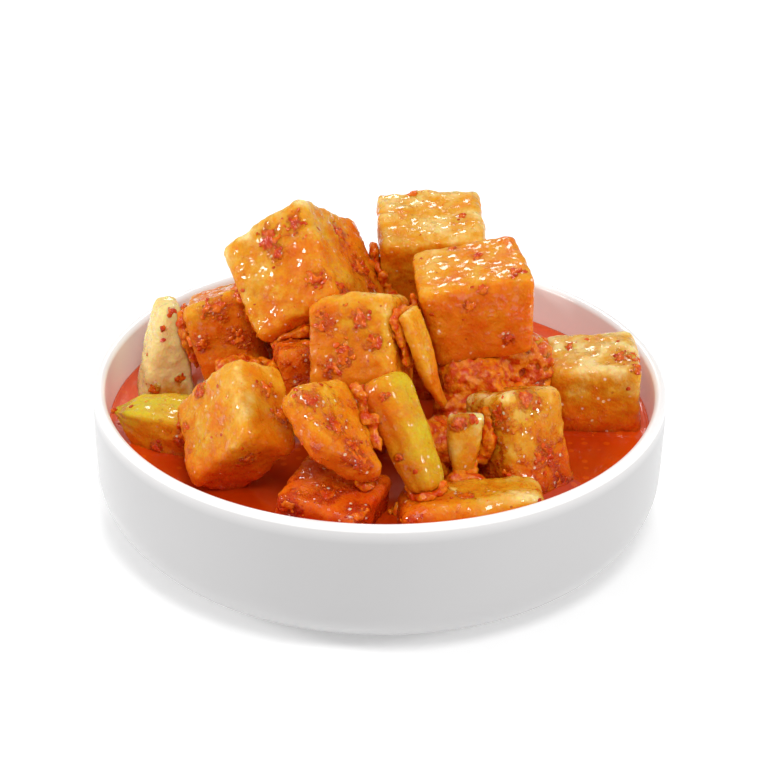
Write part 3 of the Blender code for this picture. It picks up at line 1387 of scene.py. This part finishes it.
class Scatter:
    """Lays one kind of scrap over the heap, as a single piece."""

    def __init__(self, bit: Bit, seed: int) -> None:
        """Start with nothing laid.

        Args:
            bit: the scrap.
            seed: what its chances depend on.
        """
        self.bit = bit
        self.copies = Copies(*bit.template(), seed)
        self.chance = self.copies.chance

    def lay(self, spot: Vector, normal: Vector) -> None:
        """Lay one scrap.

        Args:
            spot: where, on the surface.
            normal: which way the surface faces there.
        """
        chance = self.chance
        size = chance.uniform(self.bit.smallest, self.bit.largest) * chance.uniform(0.75, 1.1)
        tilt = Vector([chance.uniform(-0.35, 0.35) for _ in range(3)])
        turn = (normal + tilt).to_track_quat("Z", "Y").to_matrix()
        spin = Matrix.Rotation(chance.uniform(0.0, math.tau), 3, "Z")
        stretch = Matrix.Diagonal((chance.uniform(0.75, 1.35), chance.uniform(0.6, 1.0), 1.0))
        place = np.array(turn @ spin @ stretch) * size
        self.copies.add(self.copies.uneven(0.22) @ place.T + np.array(spot - normal * self.bit.sink * size))

    def over(self, obj: bpy.types.Object, per_area: float, gather: float, pattern: float) -> None:
        """Lay scraps over a piece, gathered into patches.

        Args:
            obj: the piece.
            per_area: how many for each square centimetre.
            gather: how strongly they gather, from 0 to 1.
            pattern: which pattern of patches they follow.
        """
        polygons = obj.data.polygons
        shift = Vector((pattern * 3.7, pattern * 1.9, pattern * 5.3))
        for _ in range(int(area_of(polygons) * per_area * 2.2)):
            face = polygons[self.chance.randrange(len(polygons))]
            spot = face.center
            if spot.z < BRINE_LEVEL + 0.3 * MM:
                continue
            patch = noise.noise(spot / (3.4 * MM) + shift) + 0.45 * noise.noise(spot / (1.3 * MM) + shift)
            if 0.5 + patch * 1.5 >= gather * 0.9 + self.chance.uniform(-0.2, 0.35):
                self.lay(spot, face.normal)

    def clump(self, tree: BVHTree, spot: Vector, width: float, count: int) -> None:
        """Lay scraps close together round a spot.

        Args:
            tree: the surface they stick to.
            spot: the middle of the clump.
            width: how wide it is.
            count: how many.
        """
        for _ in range(count):
            found = self.copies.beside(tree, spot, width, 0.5)
            if found:
                self.lay(*found)

    def crevices(self, obj: bpy.types.Object, per_area: float, least: float) -> None:
        """Lay scraps where a piece is hemmed in by its neighbours, above the brine.

        Args:
            obj: the piece, with its depth stored on it.
            per_area: how many for each square centimetre of such places.
            least: how hemmed in a place must be, from 0 to 1.
        """
        deep = stored(obj, "deep")
        places = [
            face
            for face in obj.data.polygons
            if deep[face.vertices[0]] > least and face.center.z > BRINE_LEVEL and face.normal.z > -0.5
        ]
        for _ in range(int(area_of(places) * per_area)):
            face = places[self.chance.randrange(len(places))]
            self.lay(face.center, face.normal)

    def afloat(self, surface: bpy.types.Object, count: int) -> None:
        """Lay scraps on the brine.

        Args:
            surface: the brine.
            count: how many.
        """
        points = [vert.co.copy() for vert in surface.data.vertices]
        tree = BVHTree.FromPolygons(points, faces_of(surface))
        reach = max(point.x for point in points) - 1.0 * MM
        for _ in range(count):
            away, side = reach * math.sqrt(self.chance.random()), self.chance.uniform(0.0, math.tau)
            spot = Vector((away * math.cos(side), away * math.sin(side), BRINE_LEVEL))
            place, normal, _, _ = tree.find_nearest(spot)
            self.lay(place, normal)

    def build(self) -> None:
        """Join the laid scraps into one piece and dress it."""
        obj = self.copies.joined(self.bit.name)
        select_only(obj)
        bpy.ops.object.shade_smooth_by_angle(angle=math.radians(50))
        finish_piece(obj, self.bit.finish.make(), self.bit.slot)


@dataclass
class Paste:
    """Red paste, built of many small balls that melt into one mass."""

    name: str
    finish: WetBitFinish
    voxel: float
    grain: float
    seed: int = 31
    widest: float = 3.6 * MM

    def __post_init__(self) -> None:
        """Model the ball, and start with none laid."""
        bpy.ops.mesh.primitive_ico_sphere_add(subdivisions=1, radius=1.0)
        self.copies = Copies(*taken(bpy.context.object), self.seed)
        self.chance = self.copies.chance

    def ball(self, spot: Vector, radius: float) -> None:
        """Add one ball.

        Args:
            spot: its middle.
            radius: its radius.
        """
        self.copies.add(self.copies.uneven(0.18) * radius + np.array(spot))

    def bridge(self, obj: bpy.types.Object, around: BVHTree, least: float) -> None:
        """Fill the narrow gaps between a piece and its neighbours, where they are deep enough.

        Args:
            obj: the piece, with its depth stored on it.
            around: the surfaces of the whole heap.
            least: how hemmed in a place must be, from 0 to 1.
        """
        deep = stored(obj, "deep")
        for index, vert in enumerate(obj.data.vertices):
            if index % 4 or deep[index] < least or vert.co.z < BRINE_LEVEL - 0.5 * MM:
                continue
            start = vert.co + vert.normal * 0.1 * MM
            _, _, _, gap = around.ray_cast(start, vert.normal, self.widest)
            most = (deep[index] - least) * 14.0 * MM + 0.3 * MM
            if gap is not None:
                self.ball(start + vert.normal * gap / 2, min(gap / 2 + 0.15 * MM, most))
            elif self.chance.random() < 0.5:
                self.ball(start, min(self.chance.uniform(0.4, 1.3) * MM, most))

    def cover(self, obj: bpy.types.Object, per_area: float) -> None:
        """Cover a piece in soft balls, above the brine.

        Args:
            obj: the piece.
            per_area: how many balls for each square centimetre.
        """
        polygons = obj.data.polygons
        for _ in range(int(area_of(polygons) * per_area)):
            face = polygons[self.chance.randrange(len(polygons))]
            if face.center.z > BRINE_LEVEL:
                self.ball(face.center, self.chance.uniform(0.5, 1.5) * MM)

    def lump(self, tree: BVHTree, spot: Vector, width: float) -> None:
        """Add a soft lump that clings to a piece.

        Args:
            tree: the surface it clings to.
            spot: its middle.
            width: how wide it is.
        """
        for _ in range(int(3.6 * (width / MM) ** 2) + 3):
            found = self.copies.beside(tree, spot, width, 0.42)
            if found:
                place, normal = found
                radius = self.chance.uniform(0.3, 0.75) * MM
                self.ball(place - normal * radius * 0.35, radius)

    def build(self) -> None:
        """Melt the balls into one piece and dress it."""
        obj = self.copies.joined(self.name)
        apply_modifier(obj, "REMESH", mode="VOXEL", voxel_size=self.voxel)
        apply_modifier(obj, "SMOOTH", factor=0.5, iterations=3)
        displace(obj, lumpy(self.name + "_grain", self.grain), self.grain * 0.8)
        bpy.ops.object.shade_smooth()
        finish_piece(obj, self.finish.make(), "radish_in_red_paste")


FLAKE = Bit(
    "chilli_flakes",
    WetBitFinish("chilli_flake", (0.50, 0.03, 0.001), (0.78, 0.10, 0.002)),
    thickness=0.28,
    sink=0.02,
    smallest=0.45 * MM,
    largest=1.25 * MM,
)
PULP = Bit(
    "chilli_pulp",
    WetBitFinish("chilli_pulp_flesh", (0.80, 0.13, 0.002), (0.90, 0.27, 0.006), roughness=0.12, glow=0.4),
    thickness=0.6,
    sink=0.18,
    smallest=0.5 * MM,
    largest=1.3 * MM,
)
MASH = Bit(
    "radish_mash",
    WetBitFinish("radish_mash_flesh", (0.80, 0.11, 0.002), (0.90, 0.27, 0.008), roughness=0.2, glow=0.6),
    thickness=0.75,
    sink=0.1,
    smallest=1.4 * MM,
    largest=3.4 * MM,
    detail=2,
)
SEED = Bit(
    "chilli_seeds",
    WetBitFinish("chilli_seed", (0.82, 0.42, 0.06), (0.88, 0.52, 0.12), roughness=0.2, glow=0.3),
    thickness=0.3,
    sink=0.02,
    smallest=1.2 * MM,
    largest=1.7 * MM,
    slot="radish",
)
PASTE_GEL = WetBitFinish(
    "chilli_paste_gel",
    (0.64, 0.055, 0.001),
    (0.82, 0.24, 0.005),
    roughness=0.06,
    glow=0.5,
    grain=0.9 * MM,
    relief=0.6 * MM,
)
LUMP_GEL = WetBitFinish(
    "chilli_lump_gel",
    (0.58, 0.04, 0.001),
    (0.82, 0.17, 0.002),
    roughness=0.05,
    glow=0.4,
    grain=0.6 * MM,
    relief=0.4 * MM,
)


@dataclass
class Dressing:
    """Everything that sticks to the pieces, lies between them or floats on the brine.

    flake_share and pulp_share say how many there are for each one that a piece asks for, and seeds and
    mash how many to a square centimetre of a piece or of its crevices. mash_least and paste_least say how
    hemmed in a place must be, from 0 to 1. clump_flakes is how many flakes a clump has for each square
    millimetre, and afloat how many float on the brine.
    """

    flake_share: float = 0.6
    pulp_share: float = 1.6
    seeds: float = 0.05
    mash: float = 5.0
    mash_least: float = 0.36
    paste_least: float = 0.4
    clump_flakes: float = 0.7
    afloat: int = 60
    first_seed: int = 11

    def build(self, heap: Heap, surfaces: BVHTree, brine: bpy.types.Object) -> None:
        """Lay and build it all.

        Args:
            heap: the cut pieces, already coated.
            surfaces: all of them as one surface.
            brine: the brine.
        """
        kinds = enumerate((FLAKE, PULP, MASH, SEED))
        flakes, pulp, mash, seeds = (Scatter(bit, self.first_seed + index) for index, bit in kinds)
        paste = Paste("chilli_paste", PASTE_GEL, voxel=0.45 * MM, grain=0.9 * MM)
        lumps = Paste("chilli_lumps", LUMP_GEL, voxel=0.28 * MM, grain=0.6 * MM)
        for cut in CUTS:
            piece, tree = heap.pieces[cut.node], heap.trees[cut.node]
            flakes.over(piece, cut.flakes * self.flake_share, gather=0.62, pattern=1.0)
            pulp.over(piece, cut.pulp * self.pulp_share, gather=0.85, pattern=1.0)
            seeds.over(piece, self.seeds, gather=0.5, pattern=4.0)
            mash.crevices(piece, self.mash, self.mash_least)
            paste.bridge(piece, surfaces, self.paste_least)
            if cut.mush:
                paste.cover(piece, cut.mush)
            for spot, width in heap.spots(cut):
                flakes.clump(tree, spot, width, int(self.clump_flakes * (width / MM) ** 2) + 1)
                lumps.lump(tree, spot, width)
        flakes.afloat(brine, self.afloat)
        for laid in (flakes, pulp, mash, seeds, paste, lumps):
            laid.build()


# ---------------------------------------------------------------- the studio


@dataclass(frozen=True)
class Lamp:
    """One square soft light: where it hangs, its side in metres and its power in watts."""

    name: str
    place: Place
    side: float
    power: float

    def hang(self, aim: Vector) -> None:
        """Hang it, out of the camera's sight.

        Args:
            aim: what it faces.
        """
        lamp = bpy.data.lights.new(self.name, "AREA")
        lamp.shape = "SQUARE"
        lamp.size = self.side
        lamp.energy = self.power
        obj = placed(self.name, lamp)
        obj.visible_camera = False
        obj.location = self.place
        obj.rotation_euler = (Vector(self.place) - aim).to_track_quat("Z", "Y").to_euler()


@dataclass(frozen=True)
class Studio:
    """A white floor, soft light from all round, and the camera."""

    aim: Place = (0.0, 0.0, 0.0314)
    distance: float = 0.580
    elevation: float = math.radians(28.4)
    roll: float = math.radians(0.78)
    lens: float = 135.6
    sensor: float = 36.0
    sky: float = 0.34
    floor_side: float = 4.0
    floor_gap: float = 0.05 * MM
    lamps: tuple[Lamp, ...] = (
        Lamp("top_light", (-0.15, -0.05, 1.0), 0.5, 1.7),
        Lamp("key_light", (0.10, -0.54, 0.82), 0.26, 3.5),
        Lamp("back_light", (-0.04, 0.62, 0.52), 0.18, 1.0),
        Lamp("left_light", (-0.85, -0.08, 0.38), 0.20, 3.2),
        Lamp("right_light", (0.82, -0.32, 0.40), 0.16, 2.4),
    )

    def build(self) -> None:
        """Lay the floor, hang the lights and set up the world and the camera."""
        bpy.ops.mesh.primitive_plane_add(size=self.floor_side, location=(0.0, 0.0, -self.floor_gap))
        floor = bpy.context.object
        floor.name = "studio_floor"
        floor.data.materials.append(FloorFinish().make())
        for lamp in self.lamps:
            lamp.hang(Vector(self.aim))
        world = bpy.data.worlds.new("studio_world")
        world.use_nodes = True
        sky = world.node_tree.nodes["Background"]
        sky.inputs["Color"].default_value = (*WHITE, 1.0)
        sky.inputs["Strength"].default_value = self.sky
        bpy.context.scene.world = world
        bpy.context.scene.view_settings.view_transform = "Standard"
        self.camera()

    def camera(self) -> None:
        """Set up the camera."""
        back = Vector((0.0, -math.cos(self.elevation), math.sin(self.elevation)))
        level = Vector((1.0, 0.0, 0.0))
        upward = Vector((0.0, math.sin(self.elevation), math.cos(self.elevation)))
        right = level * math.cos(self.roll) + upward * math.sin(self.roll)
        top = upward * math.cos(self.roll) - level * math.sin(self.roll)
        lens = bpy.data.cameras.new("studio_camera")
        lens.lens = self.lens
        lens.sensor_width = self.sensor
        obj = placed("studio_camera", lens)
        turn = Matrix((right, top, back)).transposed().to_4x4()
        obj.matrix_world = Matrix.Translation(Vector(self.aim) + back * self.distance) @ turn
        bpy.context.scene.camera = obj


def main() -> None:
    """Build the dish, the heap, the brine and what sticks to them, then the studio."""
    logging.basicConfig(level=logging.INFO, format="%(message)s")
    dish = Dish()
    dish.build()
    heap = Heap()
    surfaces = heap.build()
    brine = Brine(dish).build(surfaces)
    heap.dress(surfaces)
    Dressing().build(heap, surfaces, brine)
    Studio().build()
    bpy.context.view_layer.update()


if __name__ == "__main__":
    main()
